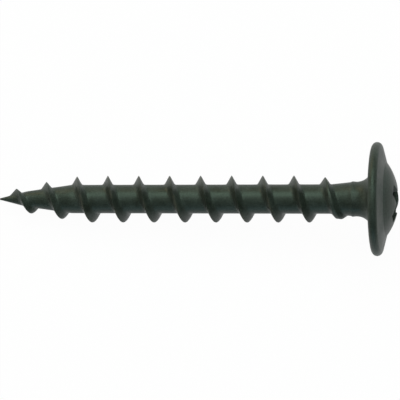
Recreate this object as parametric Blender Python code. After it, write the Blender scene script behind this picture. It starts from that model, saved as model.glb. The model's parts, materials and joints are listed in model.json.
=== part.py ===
"""A drywall screw with a wide flanged head, lying at rest.

The screw is forged and rolled from one wire, so it is one solid: a sharp point, a coarse single-start
right-hand thread on a slim core, a cone that swells to a collar, a neck with a fillet, a thin round
flange with a low dome on it, and a cross recess.

The screw is modelled along the X axis from its point (x = 0) to its head, and every angle round it runs
from +Y towards +Z. It is then tipped until the flange's rim and the thread touch the ground, z = 0.
"""

import math

import bmesh
import bpy
from mathutils import Matrix, Vector

MM = 0.001
TURN = 2 * math.pi

# Screw as a whole
LENGTH_UNDER_HEAD = 38.24 * MM
CORE_DIAMETER = 2.88 * MM
CORE_GROWTH = 0.1 * MM

# Point: a short sharp cone, then a slimmer taper up to the core
TIP_DIAMETER = 0.12 * MM
TIP_BLUNTNESS = 0.03 * MM
POINT_LENGTH = 2.9 * MM
POINT_DIAMETER = 1.59 * MM
TAPER_LENGTH = 4.6 * MM

# Thread: eight turns to the inch
PITCH = 3.175 * MM
THREAD_DIAMETER = 4.75 * MM
THREAD_WIDTH = 0.9 * MM
CREST_FLAT = 0.03 * MM
WIDEST_FLANK = math.radians(50)
CREST_DIAMETER_AT_POINT = 1.77 * MM
FULL_THREAD_FROM = 8.5 * MM
THREAD_START = 0.45 * MM
RUN_IN = 1.7 * MM
NARROWING_LENGTH = 4.0 * MM
LAST_CREST_DIAMETER = 3.9 * MM
CREST_WIDENING_LENGTH = 2.3 * MM
CREST_WIDENING = 0.7 * MM
WIDENING_TO_POINT = 0.75
RUN_OUT = 0.9 * MM
THREAD_TO_COLLAR = 0.4 * MM
UPPER_CREST = 1.71 * MM

# Shank cone, collar and neck under the head
SHANK_CONE_LENGTH = 2.17 * MM
SHANK_CONE_DIAMETER = 3.42 * MM
COLLAR_BEVEL = 0.2 * MM
COLLAR_DIAMETER = 3.58 * MM
COLLAR_STEP = 0.36 * MM
NECK_DIAMETER = 3.51 * MM
NECK_LENGTH = 0.05 * MM
NECK_FILLET = 1.57 * MM

# Flange and dome
FLANGE_DIAMETER = 11.5 * MM
RIM_THICKNESS = 1.0 * MM
FRONT_RISE = 0.39 * MM
LAND_WIDTH = 1.95 * MM
DOME_DIAMETER = FLANGE_DIAMETER - 2 * LAND_WIDTH
DOME_HEIGHT = 1.26 * MM
DOME_FILLET = 0.5 * MM

# Cross recess
RECESS_SPAN = 4.9 * MM
RECESS_FOOT_SPAN = 2.3 * MM
RECESS_DEPTH = 2.65 * MM
RECESS_FOOT_POINT = 0.35 * MM
WING_WIDTH = 1.2 * MM
WING_FOOT_WIDTH = 0.8 * MM
RECESS_CORE_DIAMETER = 2.1 * MM
RECESS_FOOT_CORE_DIAMETER = 1.25 * MM
RECESS_TURN = math.radians(55)
# How far off the head's middle the recess was punched
RECESS_OFFSET = Vector((0, -0.3, 0)) * MM
CUTTER_OVERRUN = 0.2

# Facets
COLUMNS = 48
ARC_STEP = math.radians(16)
SMOOTH_BELOW = math.radians(30)
MERGE_DISTANCE = 0.0005 * MM

# Places along the axis, measured from the point
COLLAR_POSITION = LENGTH_UNDER_HEAD - NECK_FILLET - NECK_LENGTH - COLLAR_STEP
SHANK_CONE_START = COLLAR_POSITION - SHANK_CONE_LENGTH
SHANK_CONE_END = COLLAR_POSITION - COLLAR_BEVEL
THREAD_END = COLLAR_POSITION - THREAD_TO_COLLAR
LAST_FULL_CREST = THREAD_END - NARROWING_LENGTH
FLANGE_FRONT = LENGTH_UNDER_HEAD + RIM_THICKNESS + FRONT_RISE
HEAD_TOP = FLANGE_FRONT + DOME_HEIGHT


def core_radius(x):
    """Radius of the body under the thread, from the point to the collar."""
    stations = (
        (0, TIP_DIAMETER / 2),
        (POINT_LENGTH, POINT_DIAMETER / 2),
        (POINT_LENGTH + TAPER_LENGTH, CORE_DIAMETER / 2),
        (SHANK_CONE_START, (CORE_DIAMETER + CORE_GROWTH) / 2),
        (SHANK_CONE_END, SHANK_CONE_DIAMETER / 2),
        (COLLAR_POSITION, COLLAR_DIAMETER / 2),
    )
    for (x0, r0), (x1, r1) in zip(stations, stations[1:]):
        if x <= x1:
            return r0 + (r1 - r0) * max(0, x - x0) / (x1 - x0)
    return stations[-1][1]


def share(x, start, end):
    """How far x has come from start to end, from 0 to 1."""
    return min(1, max(0, (x - start) / (end - start)))


def thread_height(x):
    """Height of the thread's crest over the core, where the crest is x from the point."""
    widening = share(x, 0, FULL_THREAD_FROM)
    narrowing = share(x, LAST_FULL_CREST, THREAD_END)
    crest_diameter = CREST_DIAMETER_AT_POINT + (THREAD_DIAMETER - CREST_DIAMETER_AT_POINT) * widening
    crest_diameter -= (THREAD_DIAMETER - LAST_CREST_DIAMETER) * narrowing
    full = max(0, crest_diameter / 2 - core_radius(x))
    run_in = share(x, THREAD_START, THREAD_START + RUN_IN)
    run_out = 1 - share(x, THREAD_END - RUN_OUT, THREAD_END)
    return full * run_in * math.sqrt(run_out)


def thread_rows(crest):
    """One thread section on a meridian: both feet, both edges of the crest, and the middle of the root."""
    height = thread_height(crest)
    edge = min(CREST_FLAT, height) / 2
    foot = min(THREAD_WIDTH / 2, edge + height * math.tan(WIDEST_FLANK))
    widening = CREST_WIDENING * share(crest, THREAD_END - CREST_WIDENING_LENGTH, THREAD_END)
    before = crest - widening * WIDENING_TO_POINT
    after = crest + widening * (1 - WIDENING_TO_POINT)
    top = core_radius(crest) + height
    return (
        (before - foot, core_radius(before - foot)),
        (before - edge, top),
        (after + edge, top),
        (after + foot, core_radius(after + foot)),
        (crest + PITCH / 2, core_radius(crest + PITCH / 2)),
    )


def on_screw(x, radius, angle):
    return Vector((x, radius * math.cos(angle), radius * math.sin(angle)))


def first_angle():
    """Half a facet round from the top, so that a facet and not an edge faces down."""
    return TURN / COLUMNS / 2


def add_threaded_body(bm, start, end):
    """Meridians side by side, each a little further along the helix than the last."""
    turns = range(-2, math.ceil((end - UPPER_CREST) / PITCH) + 2)
    columns = []
    for number in range(COLUMNS + 1):
        angle = first_angle() + TURN * number / COLUMNS
        rows = [row for k in turns for row in thread_rows(UPPER_CREST + (k + angle / TURN) * PITCH)]
        column = []
        for x, radius in rows:
            if x <= start or x >= end:
                x = min(max(x, start), end)
                radius = core_radius(x)
            column.append(bm.verts.new(on_screw(x, radius, angle)))
        columns.append(column)
    for left, right in zip(columns, columns[1:]):
        for i in range(len(left) - 1):
            bm.faces.new((left[i], left[i + 1], right[i + 1], right[i]))


def arc(centre_x, centre_r, radius, first, last):
    """Points of an arc in the profile's plane; its angles run from +x towards +r."""
    steps = max(2, math.ceil(abs(last - first) / ARC_STEP))
    angles = [first + (last - first) * i / steps for i in range(steps + 1)]
    return [(centre_x + radius * math.cos(a), centre_r + radius * math.sin(a)) for a in angles]


def point_profile(end):
    return [(0, 0), (TIP_BLUNTNESS, TIP_DIAMETER / 2), (end, core_radius(end))]


def head_profile(start):
    """From the end of the thread over the collar, neck, flange and dome to the axis."""
    rim = RIM_THICKNESS / 2
    rim_x = LENGTH_UNDER_HEAD + rim
    rim_r = FLANGE_DIAMETER / 2 - rim
    neck_r = NECK_DIAMETER / 2
    neck_fillet_x = LENGTH_UNDER_HEAD - NECK_FILLET
    dome_r = DOME_DIAMETER / 2
    dome_radius = (dome_r**2 + DOME_HEIGHT**2) / (2 * DOME_HEIGHT)
    dome_x = HEAD_TOP - dome_radius

    # The fillet at the dome's foot touches both the flange's sloping front and the dome
    slope = math.atan2(FRONT_RISE, rim_r - dome_r)
    across = (rim_x - dome_x) * math.cos(slope) + rim_r * math.sin(slope) + rim + DOME_FILLET
    along = math.sqrt((dome_radius + DOME_FILLET) ** 2 - across**2)
    fillet_x = dome_x + across * math.cos(slope) - along * math.sin(slope)
    fillet_r = across * math.sin(slope) + along * math.cos(slope)
    foot_angle = math.atan2(fillet_r, fillet_x - dome_x)

    profile = [(x, core_radius(x)) for x in (start, SHANK_CONE_END, COLLAR_POSITION)]
    profile.append((COLLAR_POSITION + COLLAR_STEP, neck_r))
    profile += arc(neck_fillet_x, neck_r + NECK_FILLET, NECK_FILLET, -math.pi / 2, 0)
    profile += arc(rim_x, rim_r, rim, math.pi, slope)
    profile += arc(fillet_x, fillet_r, DOME_FILLET, math.pi + slope, math.pi + foot_angle)
    profile += arc(dome_x, 0, dome_radius, foot_angle, 0)
    return profile


def add_turned(bm, profile):
    """Spins a profile of (x, radius) points once round the X axis."""
    verts = [bm.verts.new(on_screw(x, radius, first_angle())) for x, radius in profile]
    edges = [bm.edges.new(pair) for pair in zip(verts, verts[1:])]
    bmesh.ops.spin(bm, geom=verts + edges, cent=(0, 0, 0), axis=(1, 0, 0), angle=TURN, steps=COLUMNS)


def finished_mesh(name, bm):
    bmesh.ops.remove_doubles(bm, verts=bm.verts, dist=MERGE_DISTANCE)
    bmesh.ops.dissolve_degenerate(bm, edges=bm.edges, dist=MERGE_DISTANCE)
    bmesh.ops.recalc_face_normals(bm, faces=bm.faces)
    mesh = bpy.data.meshes.new(name)
    bm.to_mesh(mesh)
    bm.free()
    return mesh


def screw_blank():
    bm = bmesh.new()
    add_turned(bm, point_profile(THREAD_START))
    add_threaded_body(bm, THREAD_START, THREAD_END)
    add_turned(bm, head_profile(THREAD_END))
    mesh = finished_mesh("screw", bm)
    mesh.shade_smooth()
    mesh.set_sharp_from_angle(angle=SMOOTH_BELOW)
    screw = bpy.data.objects.new("screw", mesh)
    bpy.context.scene.collection.objects.link(screw)
    return screw


def cross_section(x, span, width, core_diameter):
    """The recess's cross at one depth: four wings, with a bevelled corner between each pair."""
    points = []
    for quarter in range(4):
        turned = quarter * TURN / 4 + RECESS_TURN
        corner = turned + TURN / 8
        side = math.asin(width / span)
        points.append(on_screw(x, span / 2, turned - side))
        points.append(on_screw(x, span / 2, turned + side))
        points.append(on_screw(x, core_diameter / 2, corner))
    return [point + RECESS_OFFSET for point in points]


def recess_cutter():
    """A cross that narrows inwards, carried on past the dome's top, and a blunt cone below it."""
    foot = HEAD_TOP - RECESS_DEPTH
    bm = bmesh.new()
    mouth = cross_section(HEAD_TOP, RECESS_SPAN, WING_WIDTH, RECESS_CORE_DIAMETER)
    base = cross_section(foot, RECESS_FOOT_SPAN, WING_FOOT_WIDTH, RECESS_FOOT_CORE_DIAMETER)
    outer = [a + (a - b) * CUTTER_OVERRUN for a, b in zip(mouth, base)]
    rings = [[bm.verts.new(p) for p in points] for points in (outer, base)]
    point = bm.verts.new(on_screw(foot - RECESS_FOOT_POINT, 0, 0) + RECESS_OFFSET)
    count = len(outer)
    bm.faces.new(rings[0])
    for i in range(count):
        j = (i + 1) % count
        bm.faces.new((rings[0][i], rings[0][j], rings[1][j], rings[1][i]))
        bm.faces.new((rings[1][i], rings[1][j], point))
    cutter = bpy.data.objects.new("recess_cutter", finished_mesh("recess_cutter", bm))
    bpy.context.scene.collection.objects.link(cutter)
    cutter.hide_render = True
    cutter.display_type = "WIRE"
    return cutter


def black_phosphate():
    material = bpy.data.materials.new("black_phosphate_steel")
    material.use_nodes = True
    shader = material.node_tree.nodes["Principled BSDF"]
    shader.inputs["Base Color"].default_value = (0.031, 0.037, 0.033, 1)
    shader.inputs["Metallic"].default_value = 0.3
    shader.inputs["Roughness"].default_value = 0.5
    return material


def resting_tilt(points):
    """How far the axis tips down towards the point before the thread meets the ground.

    The flange rolls on the round of its rim, a circle in the profile's plane.
    """
    rim = RIM_THICKNESS / 2
    rim_x = LENGTH_UNDER_HEAD + rim
    rim_z = -(FLANGE_DIAMETER / 2 * math.cos(first_angle()) - rim)
    tilts = []
    for point in points:
        if point.x < COLLAR_POSITION and point.z < 0:
            reach = math.hypot(rim_x - point.x, point.z - rim_z)
            tilts.append(math.atan2(point.z - rim_z, rim_x - point.x) + math.asin(rim / reach))
    return min(tilts)


def lay_down(screw):
    """Tips the screw to rest on the ground, with the origin under the middle of its box."""
    evaluated = screw.evaluated_get(bpy.context.evaluated_depsgraph_get())
    points = [vertex.co.copy() for vertex in evaluated.data.vertices]
    tipped = Matrix.Rotation(-resting_tilt(points), 4, "Y")
    points = [tipped @ point for point in points]
    low = Vector(min(point[i] for point in points) for i in range(3))
    high = Vector(max(point[i] for point in points) for i in range(3))
    middle = (low + high) / 2
    return Matrix.Translation((-middle.x, -middle.y, -low.z)) @ tipped


def build():
    for old in list(bpy.data.objects):
        bpy.data.objects.remove(old)
    screw = screw_blank()
    screw.data.materials.append(black_phosphate())
    cutter = recess_cutter()
    recess = screw.modifiers.new("cross_recess", "BOOLEAN")
    recess.operation = "DIFFERENCE"
    recess.solver = "EXACT"
    recess.object = cutter
    place = lay_down(screw)
    screw.matrix_world = place
    cutter.matrix_world = place


build()
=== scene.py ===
# A drywall screw of black phosphate steel, lying on white paper and seen from straight above.
import math
from functools import partial

import bmesh
import bpy
from mathutils import Matrix, Vector
from mathutils.geometry import delaunay_2d_cdt
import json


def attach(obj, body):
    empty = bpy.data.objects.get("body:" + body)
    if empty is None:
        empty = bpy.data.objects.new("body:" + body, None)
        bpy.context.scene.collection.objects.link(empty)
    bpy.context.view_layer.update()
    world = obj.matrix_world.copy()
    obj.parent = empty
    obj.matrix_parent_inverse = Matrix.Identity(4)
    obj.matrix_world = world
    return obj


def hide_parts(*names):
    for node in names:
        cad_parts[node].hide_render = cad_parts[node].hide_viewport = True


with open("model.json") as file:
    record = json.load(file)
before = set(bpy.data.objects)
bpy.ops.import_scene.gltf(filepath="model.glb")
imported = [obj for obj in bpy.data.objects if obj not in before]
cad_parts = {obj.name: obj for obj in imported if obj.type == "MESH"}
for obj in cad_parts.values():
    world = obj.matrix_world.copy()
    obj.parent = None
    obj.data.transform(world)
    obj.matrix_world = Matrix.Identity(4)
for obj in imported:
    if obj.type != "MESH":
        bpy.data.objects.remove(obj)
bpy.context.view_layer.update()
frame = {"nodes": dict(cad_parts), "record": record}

MM = 0.001
TURN = 2 * math.pi

# Sizes, as in the part's own source
LENGTH_UNDER_HEAD = 38.24 * MM
CORE_DIAMETER = 2.88 * MM
CORE_GROWTH = 0.1 * MM
TIP_DIAMETER = 0.12 * MM
TIP_BLUNTNESS = 0.03 * MM
POINT_LENGTH = 2.9 * MM
POINT_DIAMETER = 1.59 * MM
TAPER_LENGTH = 4.6 * MM
PITCH = 3.175 * MM
THREAD_DIAMETER = 4.75 * MM
THREAD_WIDTH = 0.9 * MM
WIDEST_FLANK = math.radians(50)
CREST_DIAMETER_AT_POINT = 1.77 * MM
FULL_THREAD_FROM = 8.5 * MM
THREAD_START = 0.45 * MM
RUN_IN = 1.7 * MM
NARROWING_LENGTH = 4.0 * MM
LAST_CREST_DIAMETER = 3.9 * MM
CREST_WIDENING_LENGTH = 2.3 * MM
CREST_WIDENING = 0.7 * MM
WIDENING_TO_POINT = 0.75
RUN_OUT = 0.9 * MM
THREAD_TO_COLLAR = 0.4 * MM
UPPER_CREST = 1.71 * MM
SHANK_CONE_LENGTH = 2.17 * MM
SHANK_CONE_DIAMETER = 3.42 * MM
COLLAR_BEVEL = 0.2 * MM
COLLAR_DIAMETER = 3.58 * MM
COLLAR_STEP = 0.36 * MM
NECK_DIAMETER = 3.51 * MM
NECK_LENGTH = 0.05 * MM
NECK_FILLET = 1.57 * MM
FLANGE_DIAMETER = 11.5 * MM
RIM_THICKNESS = 1.0 * MM
FRONT_RISE = 0.39 * MM
LAND_WIDTH = 1.95 * MM
DOME_DIAMETER = FLANGE_DIAMETER - 2 * LAND_WIDTH
DOME_HEIGHT = 1.26 * MM
DOME_FILLET = 0.5 * MM
RECESS_SPAN = 4.9 * MM
RECESS_FOOT_SPAN = 2.3 * MM
RECESS_DEPTH = 2.65 * MM
RECESS_FOOT_POINT = 0.35 * MM
WING_WIDTH = 1.2 * MM
WING_FOOT_WIDTH = 0.8 * MM
RECESS_CORE_DIAMETER = 2.1 * MM
RECESS_FOOT_CORE_DIAMETER = 1.25 * MM
RECESS_TURN = math.radians(55)
RECESS_OFFSET = Vector((-0.3, 0)) * MM

# Finer than the part: what a rolled and struck surface adds to the plain form
CREST_ROUNDING = 0.035 * MM
FOOT_ROUNDING = 0.12  # share of the ridge's height; the fillet adds half of it at the foot
MOUTH_ROUNDING = 0.08 * MM
COLLAR_EDGE = 0.04 * MM
COLLAR_EASING = 0.01 * MM
COLLAR_FOOT = 0.6  # share of the collar's step
INNER_CORNER = 0.16 * MM
WING_CORNER = 0.13 * MM

# How fine the mesh is
COLUMNS = 192
ROWS_PER_PITCH = 22
ROW_CROWDING = 0.5
PITCHES_BEFORE = 2.5  # how far before the upper crest the grid's rows start
SPARE_PITCHES = 4  # rows beyond the thread, so that they reach past both its ends
LEAST_HALF_WIDTH = 0.001 * MM
ARC_STEP = math.radians(6)
TIP_ANGLES = (0.0, 0.4, 0.8, 1.2, TURN / 4)
TIP_STEPS = 4
DOME_EDGE = 3.2 * MM
DOME_SPACING = 0.17 * MM
CLOSEST_TO_MOUTH = 0.6  # share of the spacing
LEAST_ROUND = 12
KEEP_INSIDE = 1  # makes the triangulation keep only what lies inside the outer loop
MEETING_DISTANCE = 1e-9
CORNER_STEPS = (0, 0.25, 0.5, 0.75, 1)
MOUTH_ANGLES = (0, 30, 60, 90)
MOUTH_TRIES = 6
SAME_PLACE = 1e-7
JOIN_DISTANCE = 0.001 * MM
SMALLEST_EDGE = 0.0005 * MM
SHARP_FROM = math.radians(40)

# The finish's patterns and colours
PATCH_SIZE = 1.4 * MM
CRYSTAL_SIZE = 0.12 * MM
MARK_SPACING = 0.1 * MM
MARK_LENGTH = 2.5 * MM
MARK_DEPTH = 0.02 * MM
THICK_COAT = "#20251f"
THIN_COAT = "#2f3632"
RUBBED_COAT = "#5c5446"
OIL_SHEEN = "#d4f0e0"
NOISE_SPAN = (0.3, 0.7)  # where nearly all of a noise pattern's values lie
SPECKLE_SPAN = (0.6, 1.45)
ROUGHNESS_SPAN = (0.38, 0.52)
MOST_WEAR = 0.25

# The photograph's view
PHOTO_SIDE = 400
PIXELS_PER_MM = 9.898
VIEW_MIDDLE = (197.2, 199.06)
LEAN = math.radians(1.7)
CAMERA_DISTANCE = 408 * MM
AIM_HEIGHT = 5 * MM
SENSOR = 36

# The paper
FLOOR_HALF = 1.5
FLOOR_DROP = 0.03 * MM
PAPER_WHITE = 0.97  # share of plain white in what is seen of the paper

# Worked out from the sizes above
COLLAR_POSITION = LENGTH_UNDER_HEAD - NECK_FILLET - NECK_LENGTH - COLLAR_STEP
SHANK_CONE_START = COLLAR_POSITION - SHANK_CONE_LENGTH
SHANK_CONE_END = COLLAR_POSITION - COLLAR_BEVEL
THREAD_END = COLLAR_POSITION - THREAD_TO_COLLAR
LAST_FULL_CREST = THREAD_END - NARROWING_LENGTH
HEAD_TOP = LENGTH_UNDER_HEAD + RIM_THICKNESS + FRONT_RISE + DOME_HEIGHT
DOME_RADIUS = ((DOME_DIAMETER / 2) ** 2 + DOME_HEIGHT**2) / (2 * DOME_HEIGHT)

# The inputs of a Map Range node, in the order used here
RANGE = ("Value", "From Min", "From Max", "To Min", "To Max")


def linear(code):
    """An sRGB hex colour as the linear red, green, blue and alpha that Blender takes."""
    parts = [int(code[i : i + 2], 16) / 255 for i in (1, 3, 5)]
    return tuple(c / 12.92 if c <= 0.04045 else ((c + 0.055) / 1.055) ** 2.4 for c in parts) + (1,)


def add_node(tree, kind, inputs=(), **settings):
    """Adds one node. Each input is a value, or another node or socket to link from."""
    node = tree.nodes.new(kind)
    for name, value in settings.items():
        setattr(node, name, value)
    for key, value in dict(inputs).items():
        if isinstance(value, bpy.types.Node):
            value = value.outputs[0]
        if isinstance(value, bpy.types.NodeSocket):
            tree.links.new(value, node.inputs[key])
        else:
            node.inputs[key].default_value = value
    return node


# The threaded body: a flat grid bent into the point, the core and the ridge


def core_radius_nodes(node, x):
    """Radius of the body under the thread: the point's cone, the taper, the core and the shank cone."""
    point_end = POINT_LENGTH + TAPER_LENGTH
    cone_growth = (SHANK_CONE_DIAMETER - CORE_DIAMETER - CORE_GROWTH) / 2
    steps = (
        (0, POINT_LENGTH, TIP_DIAMETER / 2, POINT_DIAMETER / 2),
        (POINT_LENGTH, point_end, 0, (CORE_DIAMETER - POINT_DIAMETER) / 2),
        (point_end, SHANK_CONE_START, 0, CORE_GROWTH / 2),
        (SHANK_CONE_START, SHANK_CONE_END, 0, cone_growth),
    )
    radius = None
    for step in steps:
        rise = node("ShaderNodeMapRange", dict(zip(RANGE, (x, *step))))
        radius = node("ShaderNodeMath", {0: radius, 1: rise}, operation="ADD") if radius else rise
    return radius


def thread_tree(finish):
    """Geometry Nodes: bends a flat grid into the point, core and thread, with its rows along the helix."""
    tree = bpy.data.node_groups.new("rolled_thread", "GeometryNodeTree")
    for name in ("Pitch", "Thread Diameter", "Thread Width", "Crest Rounding", "Foot Rounding"):
        tree.interface.new_socket(name=name, in_out="INPUT", socket_type="NodeSocketFloat")
    for name in ("Columns", "Rows"):
        tree.interface.new_socket(name=name, in_out="INPUT", socket_type="NodeSocketInt")
    tree.interface.new_socket(name="Geometry", in_out="OUTPUT", socket_type="NodeSocketGeometry")
    node = partial(add_node, tree)
    given = node("NodeGroupInput").outputs
    pitch = given["Pitch"]
    rounding = given["Crest Rounding"]

    # The grid's own coordinates: how far round, and how many pitches along
    grid = node(
        "GeometryNodeMeshGrid",
        {"Size X": 1.0, "Size Y": 1.0, "Vertices X": given["Rows"], "Vertices Y": given["Columns"]},
    )
    place = node("ShaderNodeSeparateXYZ", {0: node("GeometryNodeInputPosition")})
    round_share = node("ShaderNodeMath", {0: place.outputs["Y"], 1: 0.5}, operation="ADD")
    angle = node("ShaderNodeMath", {0: round_share, 1: TURN}, operation="MULTIPLY")
    row_share = node("ShaderNodeMath", {0: place.outputs["X"], 1: 0.5}, operation="ADD")
    last_row = node("ShaderNodeMath", {0: given["Rows"], 1: 1}, operation="SUBTRACT")
    exact_row = node("ShaderNodeMath", {0: row_share, 1: last_row}, operation="MULTIPLY")
    row = node("ShaderNodeMath", {0: exact_row}, operation="ROUND")
    from_first = node("ShaderNodeMath", {0: row, 1: ROWS_PER_PITCH}, operation="DIVIDE")
    pitches = node("ShaderNodeMath", {0: from_first, 1: PITCHES_BEFORE}, operation="SUBTRACT")
    crest_number = node("ShaderNodeMath", {0: pitches}, operation="ROUND")
    off_crest = node("ShaderNodeMath", {0: pitches, 1: crest_number}, operation="SUBTRACT")

    # Rows crowd together on the ridge and spread out on the root, and half a pitch stays half a pitch
    cube = node("ShaderNodeMath", {0: off_crest, 1: 3.0}, operation="POWER")
    even = node("ShaderNodeMath", {0: off_crest, 1: 1 - ROW_CROWDING}, operation="MULTIPLY")
    crowded = node("ShaderNodeMath", {0: cube, 1: 4 * ROW_CROWDING, 2: even}, operation="MULTIPLY_ADD")
    off = node("ShaderNodeMath", {0: crowded, 1: pitch}, operation="MULTIPLY")
    turns_here = node("ShaderNodeMath", {0: crest_number, 1: round_share}, operation="ADD")
    crest_x = node("ShaderNodeMath", {0: turns_here, 1: pitch, 2: UPPER_CREST}, operation="MULTIPLY_ADD")
    x = node("ShaderNodeMath", {0: crest_x, 1: off}, operation="ADD")

    # Height of the crest over the core, growing from the point and dying away before the collar
    grow = (crest_x, 0, FULL_THREAD_FROM, CREST_DIAMETER_AT_POINT - THREAD_DIAMETER, 0)
    shrink = (crest_x, LAST_FULL_CREST, THREAD_END, 0, LAST_CREST_DIAMETER - THREAD_DIAMETER)
    growing = node("ShaderNodeMapRange", dict(zip(RANGE, grow)))
    shrinking = node("ShaderNodeMapRange", dict(zip(RANGE, shrink)))
    grown = node("ShaderNodeMath", {0: given["Thread Diameter"], 1: growing}, operation="ADD")
    crest_diameter = node("ShaderNodeMath", {0: grown, 1: shrinking}, operation="ADD")
    core_here = core_radius_nodes(node, crest_x)
    less_core = node("ShaderNodeMath", {0: core_here, 1: -1}, operation="MULTIPLY")
    over_core = node("ShaderNodeMath", {0: crest_diameter, 1: 0.5, 2: less_core}, operation="MULTIPLY_ADD")
    ridge_height = node("ShaderNodeMath", {0: over_core, 1: 0}, operation="MAXIMUM")
    start = (crest_x, THREAD_START, THREAD_START + RUN_IN, 0, 1)
    stop = (crest_x, THREAD_END - RUN_OUT, THREAD_END, 1, 0)
    run_in = node("ShaderNodeMapRange", dict(zip(RANGE, start)))
    stopping = node("ShaderNodeMapRange", dict(zip(RANGE, stop)))
    run_out = node("ShaderNodeMath", {0: stopping}, operation="SQRT")
    risen = node("ShaderNodeMath", {0: ridge_height, 1: run_in}, operation="MULTIPLY")
    height = node("ShaderNodeMath", {0: risen, 1: run_out}, operation="MULTIPLY")

    # The ridge's half width: its full one, or less where it is low, so that no flank is too shallow
    steep = node("ShaderNodeMath", {0: height, 1: math.tan(WIDEST_FLANK)}, operation="MULTIPLY")
    half = node("ShaderNodeMath", {0: given["Thread Width"], 1: 0.5}, operation="MULTIPLY")
    narrower = node("ShaderNodeMath", {0: half, 1: steep}, operation="MINIMUM")
    half_width = node("ShaderNodeMath", {0: narrower, 1: LEAST_HALF_WIDTH}, operation="MAXIMUM")

    # The crest's flat, which widens near the thread's end and mostly towards the point
    widen = (crest_x, THREAD_END - CREST_WIDENING_LENGTH, THREAD_END, 0, CREST_WIDENING / 2)
    flat = node("ShaderNodeMapRange", dict(zip(RANGE, widen)))
    moved = 2 * WIDENING_TO_POINT - 1
    off_middle = node("ShaderNodeMath", {0: flat, 1: moved, 2: off}, operation="MULTIPLY_ADD")
    either_side = node("ShaderNodeMath", {0: off_middle}, operation="ABSOLUTE")
    past_flat = node("ShaderNodeMath", {0: either_side, 1: flat}, operation="SUBTRACT")
    off_flat = node("ShaderNodeMath", {0: past_flat, 1: 0}, operation="MAXIMUM")

    # The ridge's section: straight flanks, a hair of rounding on the crest, and a fillet at each foot
    off_squared = node("ShaderNodeMath", {0: off_flat, 1: 2.0}, operation="POWER")
    rounding_squared = node("ShaderNodeMath", {0: rounding, 1: 2.0}, operation="POWER")
    squares = node("ShaderNodeMath", {0: off_squared, 1: rounding_squared}, operation="ADD")
    reach = node("ShaderNodeMath", {0: squares}, operation="SQRT")
    less_rounding = node("ShaderNodeMath", {0: reach, 1: rounding}, operation="SUBTRACT")
    across = node("ShaderNodeMath", {0: less_rounding, 1: half_width}, operation="DIVIDE")
    above = node("ShaderNodeMath", {0: 1, 1: across}, operation="SUBTRACT")
    fillet = node("ShaderNodeMath", {0: given["Foot Rounding"], 1: 2.0}, operation="POWER")
    softened = node("ShaderNodeMath", {0: above, 1: above, 2: fillet}, operation="MULTIPLY_ADD")
    soft = node("ShaderNodeMath", {0: softened}, operation="SQRT")
    both = node("ShaderNodeMath", {0: above, 1: soft}, operation="ADD")
    rise = node("ShaderNodeMath", {0: both, 1: 0.5}, operation="MULTIPLY")

    # What runs past either end gathers on that end's ring
    inside = node("ShaderNodeClamp", {"Value": x, "Min": THREAD_START, "Max": THREAD_END})
    kept = node("ShaderNodeMath", {0: inside, 1: x, 2: SAME_PLACE}, operation="COMPARE")
    ridge = node("ShaderNodeMath", {0: height, 1: rise}, operation="MULTIPLY")
    ridge = node("ShaderNodeMath", {0: ridge, 1: kept}, operation="MULTIPLY")
    core = core_radius_nodes(node, inside)
    radius = node("ShaderNodeMath", {0: core, 1: ridge}, operation="ADD")
    cosine = node("ShaderNodeMath", {0: angle}, operation="COSINE")
    sine = node("ShaderNodeMath", {0: angle}, operation="SINE")
    y = node("ShaderNodeMath", {0: radius, 1: cosine}, operation="MULTIPLY")
    z = node("ShaderNodeMath", {0: radius, 1: sine}, operation="MULTIPLY")
    point = node("ShaderNodeCombineXYZ", {"X": inside, "Y": y, "Z": z})

    # How near each point is to the crest, for the rubbed edge in the finish
    over = node("ShaderNodeMath", {0: given["Thread Diameter"], 1: CORE_DIAMETER}, operation="SUBTRACT")
    full_height = node("ShaderNodeMath", {0: over, 1: 0.5}, operation="MULTIPLY")
    edge = node("ShaderNodeMath", {0: ridge, 1: full_height}, operation="DIVIDE")
    marked = node(
        "GeometryNodeStoreNamedAttribute",
        {"Geometry": grid, "Name": "crest", "Value": edge},
        data_type="FLOAT",
        domain="POINT",
    )
    shaped = node("GeometryNodeSetPosition", {"Geometry": marked, "Position": point})
    merged = node("GeometryNodeMergeByDistance", {"Geometry": shaped, "Distance": SMALLEST_EDGE})
    smooth = node("GeometryNodeSetShadeSmooth", {"Geometry": merged})
    real = node("GeometryNodeRealizeInstances", {"Geometry": smooth})
    done = node("GeometryNodeSetMaterial", {"Geometry": real, "Material": finish})
    node("NodeGroupOutput", {"Geometry": done})
    return tree


def threaded_mesh(finish):
    """Runs the thread's tree once and keeps its plain mesh."""
    tree = thread_tree(finish)
    pitches = math.ceil((THREAD_END - UPPER_CREST) / PITCH) + SPARE_PITCHES
    sizes = {
        "Pitch": PITCH,
        "Thread Diameter": THREAD_DIAMETER,
        "Thread Width": THREAD_WIDTH,
        "Crest Rounding": CREST_ROUNDING,
        "Foot Rounding": FOOT_ROUNDING,
        "Columns": COLUMNS + 1,
        "Rows": pitches * ROWS_PER_PITCH + 1,
    }
    holder = bpy.data.objects.new("thread_holder", bpy.data.meshes.new("thread_holder"))
    bpy.context.scene.collection.objects.link(holder)
    modifier = holder.modifiers.new("rolled_thread", "NODES")
    modifier.node_group = tree
    for socket in tree.interface.items_tree:
        if socket.in_out == "INPUT":
            modifier[socket.identifier] = sizes[socket.name]
    graph = bpy.context.evaluated_depsgraph_get()
    mesh = bpy.data.meshes.new_from_object(holder.evaluated_get(graph))
    bpy.data.objects.remove(holder)
    return mesh


# The point and the head, as profiles of (x, radius) turned about the screw's axis


def on_screw(x, radius, angle):
    """A point so far along the screw's axis, so far from it and so far round it."""
    return Vector((x, radius * math.cos(angle), radius * math.sin(angle)))


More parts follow.
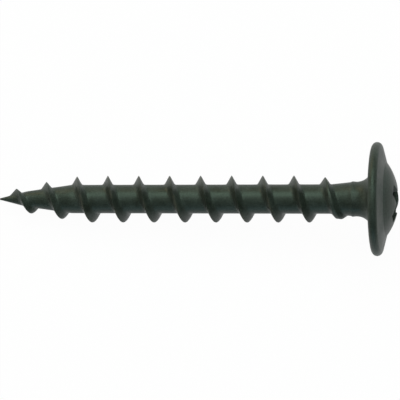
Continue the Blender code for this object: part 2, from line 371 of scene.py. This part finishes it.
def arc(centre_x, centre_r, radius, first, last):
    """Points of an arc in the profile's plane; its angles run from +x towards +r."""
    steps = max(2, math.ceil(abs(last - first) / ARC_STEP))
    angles = [first + (last - first) * i / steps for i in range(steps + 1)]
    return [(centre_x + radius * math.cos(a), centre_r + radius * math.sin(a)) for a in angles]


def core_radius(x):
    """The same radius as core_radius_nodes gives, at the thread's two ends."""
    if x <= POINT_LENGTH:
        return (TIP_DIAMETER + (POINT_DIAMETER - TIP_DIAMETER) * x / POINT_LENGTH) / 2
    straight = CORE_DIAMETER + CORE_GROWTH
    share = (x - SHANK_CONE_START) / (SHANK_CONE_END - SHANK_CONE_START)
    return (straight + (SHANK_CONE_DIAMETER - straight) * share) / 2


def dome_height_at(radius):
    """Where along the axis the dome's surface lies, at a distance from the axis."""
    return HEAD_TOP - DOME_RADIUS + math.sqrt(DOME_RADIUS**2 - radius**2)


def point_profile():
    """The blunt nose and the short bare cone before the thread starts."""
    nose = TIP_DIAMETER / 2
    rounded = [(TIP_BLUNTNESS * (1 - math.cos(a)), nose * math.sin(a)) for a in TIP_ANGLES]
    places = [THREAD_START * i / TIP_STEPS for i in range(1, TIP_STEPS + 1)]
    return rounded + [(x, core_radius(x)) for x in places]


def head_profile():
    """From the end of the thread over the collar, neck, flange and the dome's foot, to the dome's edge."""
    rim = RIM_THICKNESS / 2
    rim_x = LENGTH_UNDER_HEAD + rim
    rim_r = FLANGE_DIAMETER / 2 - rim
    neck_r = NECK_DIAMETER / 2
    neck_fillet_x = LENGTH_UNDER_HEAD - NECK_FILLET
    dome_x = HEAD_TOP - DOME_RADIUS

    # The fillet at the dome's foot touches both the flange's sloping front and the dome
    slope = math.atan2(FRONT_RISE, rim_r - DOME_DIAMETER / 2)
    across = (rim_x - dome_x) * math.cos(slope) + rim_r * math.sin(slope) + rim + DOME_FILLET
    along = math.sqrt((DOME_RADIUS + DOME_FILLET) ** 2 - across**2)
    fillet_x = dome_x + across * math.cos(slope) - along * math.sin(slope)
    fillet_r = across * math.sin(slope) + along * math.cos(slope)
    foot_angle = math.atan2(fillet_r, fillet_x - dome_x)

    profile = [(THREAD_END, core_radius(THREAD_END))]
    profile += [(SHANK_CONE_END, core_radius(SHANK_CONE_END))]
    profile += [(COLLAR_POSITION - COLLAR_EDGE, COLLAR_DIAMETER / 2 - COLLAR_EASING)]
    profile += [(COLLAR_POSITION + COLLAR_EDGE, COLLAR_DIAMETER / 2)]
    profile += [(COLLAR_POSITION + COLLAR_STEP * COLLAR_FOOT, neck_r + COLLAR_EASING)]
    profile += [(COLLAR_POSITION + COLLAR_STEP, neck_r)]
    profile += arc(neck_fillet_x, neck_r + NECK_FILLET, NECK_FILLET, -TURN / 4, 0)
    profile += arc(rim_x, rim_r, rim, TURN / 2, slope)
    profile += arc(fillet_x, fillet_r, DOME_FILLET, TURN / 2 + slope, TURN / 2 + foot_angle)
    profile += arc(dome_x, 0, DOME_RADIUS, foot_angle, math.asin(DOME_EDGE / DOME_RADIUS))
    return profile


def add_turned(body, profile):
    """Turns a profile once round the X axis, with one point where it meets the axis."""
    rings = []
    for x, radius in profile:
        number = COLUMNS if radius > 0 else 1
        rings.append([body.verts.new(on_screw(x, radius, TURN * i / COLUMNS)) for i in range(number)])
    for ring, following in zip(rings, rings[1:]):
        for i in range(COLUMNS):
            j = (i + 1) % COLUMNS
            corners = (ring[i % len(ring)], ring[j % len(ring)], following[j], following[i])
            body.faces.new(dict.fromkeys(corners))


# The cross recess


def cross_outline(span, width, core_diameter):
    """The recess's cross at one depth, as (y, z) points with every corner rounded."""
    corners = []
    for quarter in range(4):
        wing = quarter * TURN / 4 + RECESS_TURN
        side = math.asin(width / span)
        for radius, angle, blunt in (
            (core_diameter / 2, wing - TURN / 8, INNER_CORNER),
            (span / 2, wing - side, WING_CORNER),
            (span / 2, wing + side, WING_CORNER),
        ):
            corners.append((Vector((radius * math.cos(angle), radius * math.sin(angle))), blunt))
    points = []
    for i, (corner, blunt) in enumerate(corners):
        before = corners[i - 1][0]
        after, next_blunt = corners[(i + 1) % len(corners)]
        start = corner + (before - corner).normalized() * blunt
        end = corner + (after - corner).normalized() * blunt
        for t in CORNER_STEPS:
            points.append(start * (1 - t) ** 2 + corner * 2 * t * (1 - t) + end * t**2)
        next_start = after + (corner - after).normalized() * next_blunt
        for t in CORNER_STEPS[1:-1]:
            points.append(end.lerp(next_start, t))
    return [point + RECESS_OFFSET for point in points]


def recess_rings():
    """Rings of points from the dome's surface, over the rounded mouth, down to the recess's foot."""
    foot = HEAD_TOP - RECESS_DEPTH
    top = cross_outline(RECESS_SPAN, WING_WIDTH, RECESS_CORE_DIAMETER)
    base = cross_outline(RECESS_FOOT_SPAN, WING_FOOT_WIDTH, RECESS_FOOT_CORE_DIAMETER)
    grown = MOUTH_ROUNDING * 2
    wide = cross_outline(RECESS_SPAN + grown, WING_WIDTH + grown, RECESS_CORE_DIAMETER + grown)

    def on_wall(i, x):
        return base[i].lerp(top[i], (x - foot) / RECESS_DEPTH)

    # Where each sloping wall line meets the dome, found by a few tries that close in on it
    mouth = []
    for i in range(len(top)):
        x = HEAD_TOP
        for _ in range(MOUTH_TRIES):
            x = dome_height_at(on_wall(i, x).length)
        mouth.append(x)

    rings = []
    for angle in MOUTH_ANGLES:
        a = math.radians(angle)
        ring = []
        for i, mouth_x in enumerate(mouth):
            x = mouth_x - MOUTH_ROUNDING * (1 - math.cos(a))
            flat = on_wall(i, x) + (wide[i] - top[i]) * (1 - math.sin(a))
            if angle == 0:
                x = dome_height_at(flat.length)
            ring.append(Vector((x, flat.x, flat.y)))
        rings.append(ring)
    for share in CORNER_STEPS[1:]:
        ring = []
        for i, mouth_x in enumerate(mouth):
            start = mouth_x - MOUTH_ROUNDING
            x = start + (foot - start) * share
            flat = on_wall(i, x)
            ring.append(Vector((x, flat.x, flat.y)))
        rings.append(ring)
    return rings


def inside_outline(point, outline):
    """Whether a flat point lies inside a closed outline."""
    hits = 0
    for a, b in zip(outline, outline[1:] + outline[:1]):
        if (a.y > point.y) != (b.y > point.y):
            if point.x < a.x + (point.y - a.y) * (b.x - a.x) / (b.y - a.y):
                hits += 1
    return hits % 2 == 1


def circle(radius, number):
    """Flat points evenly round a circle."""
    angles = [TURN * i / number for i in range(number)]
    return [Vector((radius * math.cos(a), radius * math.sin(a))) for a in angles]


def add_dome(body):
    """Fills the dome between its edge ring and the cross, then adds the recess's walls and foot."""
    rings = recess_rings()
    mouth = [Vector((p.y, p.z)) for p in rings[0]]
    flat = circle(DOME_EDGE, COLUMNS) + mouth
    loops = [(i, (i + 1) % COLUMNS) for i in range(COLUMNS)]
    loops += [(COLUMNS + i, COLUMNS + (i + 1) % len(mouth)) for i in range(len(mouth))]
    radius = DOME_EDGE - DOME_SPACING
    while radius > RECESS_CORE_DIAMETER / 2:
        for spot in circle(radius, max(LEAST_ROUND, round(TURN * radius / DOME_SPACING))):
            near = min((spot - p).length for p in mouth)
            if near > CLOSEST_TO_MOUTH * DOME_SPACING and not inside_outline(spot, mouth):
                flat.append(spot)
        radius -= DOME_SPACING
    points, _, faces, *_ = delaunay_2d_cdt(flat, loops, [], KEEP_INSIDE, MEETING_DISTANCE)
    lifted = [body.verts.new((dome_height_at(p.length), p.x, p.y)) for p in points]
    for face in faces:
        middle = sum((points[i] for i in face), Vector((0, 0))) / len(face)
        if not inside_outline(middle, mouth):
            body.faces.new([lifted[i] for i in face])

    walls = [[body.verts.new(p) for p in ring] for ring in rings]
    for upper, lower in zip(walls, walls[1:]):
        for i in range(len(upper)):
            j = (i + 1) % len(upper)
            body.faces.new((upper[i], upper[j], lower[j], lower[i]))
    tip = body.verts.new((HEAD_TOP - RECESS_DEPTH - RECESS_FOOT_POINT, *RECESS_OFFSET))
    for i, vert in enumerate(walls[-1]):
        body.faces.new((vert, walls[-1][(i + 1) % len(walls[-1])], tip))


# The whole screw


def screw_piece(finish, tilt):
    """One closed mesh: point, thread, head and recess, laid where the part lies."""
    body = bmesh.new()
    body.from_mesh(threaded_mesh(finish))
    add_turned(body, point_profile())
    add_turned(body, head_profile())
    add_dome(body)
    bmesh.ops.remove_doubles(body, verts=body.verts, dist=JOIN_DISTANCE)
    bmesh.ops.dissolve_degenerate(body, edges=body.edges, dist=SMALLEST_EDGE)
    bmesh.ops.recalc_face_normals(body, faces=body.faces)
    mesh = bpy.data.meshes.new("phosphated_screw")
    body.to_mesh(mesh)
    body.free()
    mesh.shade_smooth()
    mesh.set_sharp_from_angle(angle=SHARP_FROM)
    mesh.materials.clear()
    mesh.materials.append(finish)

    # The part's point is its lowest X
    point = min((v.co for v in frame["nodes"]["screw"].data.vertices), key=lambda co: co.x)
    mesh.transform(Matrix.Translation(point) @ Matrix.Rotation(-tilt, 4, "Y"))
    screw = bpy.data.objects.new("phosphated_screw", mesh)
    bpy.context.scene.collection.objects.link(screw)
    return screw


# Finishes


def black_phosphate_steel(tilt):
    """Black phosphate steel: iron phosphate crystals grown in a hot bath, then oiled.

    The crystals are a mineral and a few hundredths of a millimetre across, so the coat is no mirror like
    bare metal but matt with a soft, wide sheen from the oil. It is dark grey-green where it is whole and
    browner where it is rubbed thin on a crest.
    """
    material = bpy.data.materials.new("black_phosphate_steel")
    material.use_nodes = True
    tree = material.node_tree
    node = partial(add_node, tree)
    shader = tree.nodes["Principled BSDF"]
    where = node("ShaderNodeTexCoord").outputs["Object"]

    # Patches a millimetre or two across, where the bath took more or less
    patches = node(
        "ShaderNodeTexNoise",
        {"Vector": where, "Scale": 1 / PATCH_SIZE, "Detail": 4.0, "Roughness": 0.6},
    ).outputs["Fac"]

    # Real crystals are 0.02 to 0.05 mm, too fine to show here, so they are drawn coarser
    crystals = node(
        "ShaderNodeTexNoise",
        {"Vector": where, "Scale": 1 / CRYSTAL_SIZE, "Detail": 2.0, "Roughness": 0.6},
    ).outputs["Fac"]

    # Fine marks that run round the screw, from drawing the wire and rolling the thread
    round_screw = node(
        "ShaderNodeMapping",
        {"Vector": where, "Rotation": (0, -tilt, 0), "Scale": (MARK_SPACING, MARK_LENGTH, MARK_LENGTH)},
        vector_type="TEXTURE",
    )
    marks = node("ShaderNodeTexNoise", {"Vector": round_screw, "Scale": 1.0, "Detail": 2.0}).outputs["Fac"]

    # Tone: patches of thick and thin coat, and each crystal a little lighter or darker
    thinness = node("ShaderNodeMapRange", dict(zip(RANGE, (patches, *NOISE_SPAN))))
    tone = node(
        "ShaderNodeMix",
        {"Factor": thinness, 6: linear(THICK_COAT), 7: linear(THIN_COAT)},
        data_type="RGBA",
    )
    speckle = node("ShaderNodeMapRange", dict(zip(RANGE, (crystals, *NOISE_SPAN, *SPECKLE_SPAN))))
    grain = node(
        "ShaderNodeMix",
        {"Factor": 1.0, 6: tone.outputs[2], 7: speckle},
        data_type="RGBA",
        blend_type="MULTIPLY",
    )

    # Wear: a little brown on the crests, broken up by the patches
    crest = node("ShaderNodeAttribute", attribute_name="crest").outputs["Fac"]
    near_crest = node("ShaderNodeMapRange", dict(zip(RANGE, (crest, 0.6, 1.0, 0.0, MOST_WEAR))))
    broken = node("ShaderNodeMapRange", dict(zip(RANGE, (patches, 0.42, 0.6))))
    wear = node("ShaderNodeMath", {0: near_crest, 1: broken}, operation="MULTIPLY")
    worn = node(
        "ShaderNodeMix",
        {"Factor": wear, 6: grain.outputs[2], 7: linear(RUBBED_COAT)},
        data_type="RGBA",
    )
    tree.links.new(worn.outputs[2], shader.inputs["Base Color"])

    # Sheen: oil lies a little thicker in some patches
    rough = node("ShaderNodeMapRange", dict(zip(RANGE, (patches, *NOISE_SPAN, *ROUGHNESS_SPAN))))
    tree.links.new(rough.outputs[0], shader.inputs["Roughness"])
    height = node("ShaderNodeMath", {0: marks, 1: 0.8, 2: crystals}, operation="MULTIPLY_ADD")
    bump = node("ShaderNodeBump", {"Strength": 0.45, "Distance": MARK_DEPTH, "Height": height})
    tree.links.new(bump.outputs[0], shader.inputs["Normal"])

    # The coat is a mineral, so not metallic, and its thin oil film shines less than varnish would
    shader.inputs["Metallic"].default_value = 0.0
    shader.inputs["Specular IOR Level"].default_value = 0.3
    shader.inputs["Specular Tint"].default_value = linear(OIL_SHEEN)
    return material


def white_paper():
    """Matt white paper, shown as the photograph's clean white with only a trace of the screw's shadow."""
    material = bpy.data.materials.new("white_paper")
    material.use_nodes = True
    tree = material.node_tree
    node = partial(add_node, tree)
    paper = tree.nodes["Principled BSDF"]
    paper.inputs["Base Color"].default_value = linear("#efefef")
    paper.inputs["Roughness"].default_value = 0.9
    white = node("ShaderNodeEmission", {"Color": (1, 1, 1, 1), "Strength": 1.0})
    ray = node("ShaderNodeLightPath").outputs
    seen = ray["Is Camera Ray"]
    for kind in ("Is Glossy Ray", "Is Transmission Ray"):
        seen = node("ShaderNodeMath", {0: seen, 1: ray[kind]}, operation="MAXIMUM")
    share = node("ShaderNodeMath", {0: seen, 1: PAPER_WHITE}, operation="MULTIPLY")
    shown = node("ShaderNodeMixShader", {0: share, 1: paper, 2: white})
    tree.links.new(shown.outputs[0], tree.nodes["Material Output"].inputs["Surface"])
    return material


# Floor, camera and light


def build_floor():
    """A wide sheet of paper just under the screw."""
    body = bmesh.new()
    bmesh.ops.create_grid(body, x_segments=1, y_segments=1, size=FLOOR_HALF)
    mesh = bpy.data.meshes.new("paper_floor")
    body.to_mesh(mesh)
    body.free()
    floor = bpy.data.objects.new("paper_floor", mesh)
    floor.location.z = -FLOOR_DROP
    floor.data.materials.append(white_paper())
    bpy.context.scene.collection.objects.link(floor)


def build_camera():
    """Straight above, a little towards the head, with a long lens, as in the photograph."""
    camera = bpy.data.objects.new("camera", bpy.data.cameras.new("camera"))
    bpy.context.scene.collection.objects.link(camera)
    target = Vector((0, 0, AIM_HEIGHT))
    camera.location = target + CAMERA_DISTANCE * Vector((math.sin(LEAN), 0, math.cos(LEAN)))
    camera.rotation_euler = (0, LEAN, 0)
    camera.data.sensor_width = SENSOR
    camera.data.lens = SENSOR * PIXELS_PER_MM * CAMERA_DISTANCE / MM / PHOTO_SIDE
    camera.data.shift_x = (PHOTO_SIDE / 2 - VIEW_MIDDLE[0]) / PHOTO_SIDE
    camera.data.shift_y = (VIEW_MIDDLE[1] - PHOTO_SIDE / 2) / PHOTO_SIDE
    camera.data.clip_start = 0.01
    camera.data.clip_end = 10
    bpy.context.scene.camera = camera


def add_softbox(name, place, size, power, colour):
    """A rectangular lamp that points at the middle of the scene."""
    light = bpy.data.lights.new(name, "AREA")
    light.shape = "RECTANGLE"
    light.size, light.size_y = size
    light.energy = power
    light.color = linear(colour)[:3]
    lamp = bpy.data.objects.new(name, light)
    lamp.location = place
    lamp.rotation_euler = (-Vector(place)).to_track_quat("-Z", "Y").to_euler()
    bpy.context.scene.collection.objects.link(lamp)


def build_light():
    """A large softbox behind, a warm light low behind, a cool one low in front, and three helpers."""
    add_softbox("main_softbox", (-0.05, 0.42, 0.52), (0.5, 0.34), 3.6, "#f0fff4")
    add_softbox("overhead_softbox", (0.0, 0.12, 0.65), (0.3, 0.3), 0.75, "#ffffff")
    add_softbox("head_softbox", (0.35, 0.1, 0.6), (0.3, 0.3), 0.3, "#dcffe2")
    add_softbox("point_softbox", (-0.7, 0.1, 0.15), (0.3, 0.2), 0.7, "#fff0d8")
    add_softbox("low_warm_fill", (-0.4, 0.6, 0.12), (0.5, 0.16), 1.6, "#ffd8b0")
    add_softbox("low_cool_fill", (0, -0.7, 0.10), (0.8, 0.16), 1.05, "#b0dcee")
    world = bpy.data.worlds.new("studio")
    bpy.context.scene.world = world
    world.use_nodes = True
    backdrop = world.node_tree.nodes["Background"]
    backdrop.inputs["Color"].default_value = (1, 1, 1, 1)
    backdrop.inputs["Strength"].default_value = 0.15


def main():
    scene = bpy.context.scene
    scene.view_settings.view_transform = "Standard"
    build_camera()
    build_light()
    build_floor()

    # The screw's axis is its bearing face's normal turned round
    axis = -Vector(frame["record"]["mounts"][0]["axis"])
    tilt = math.asin(axis.z)
    screw = screw_piece(black_phosphate_steel(tilt), tilt)
    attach(screw, "root")
    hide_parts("screw")


main()
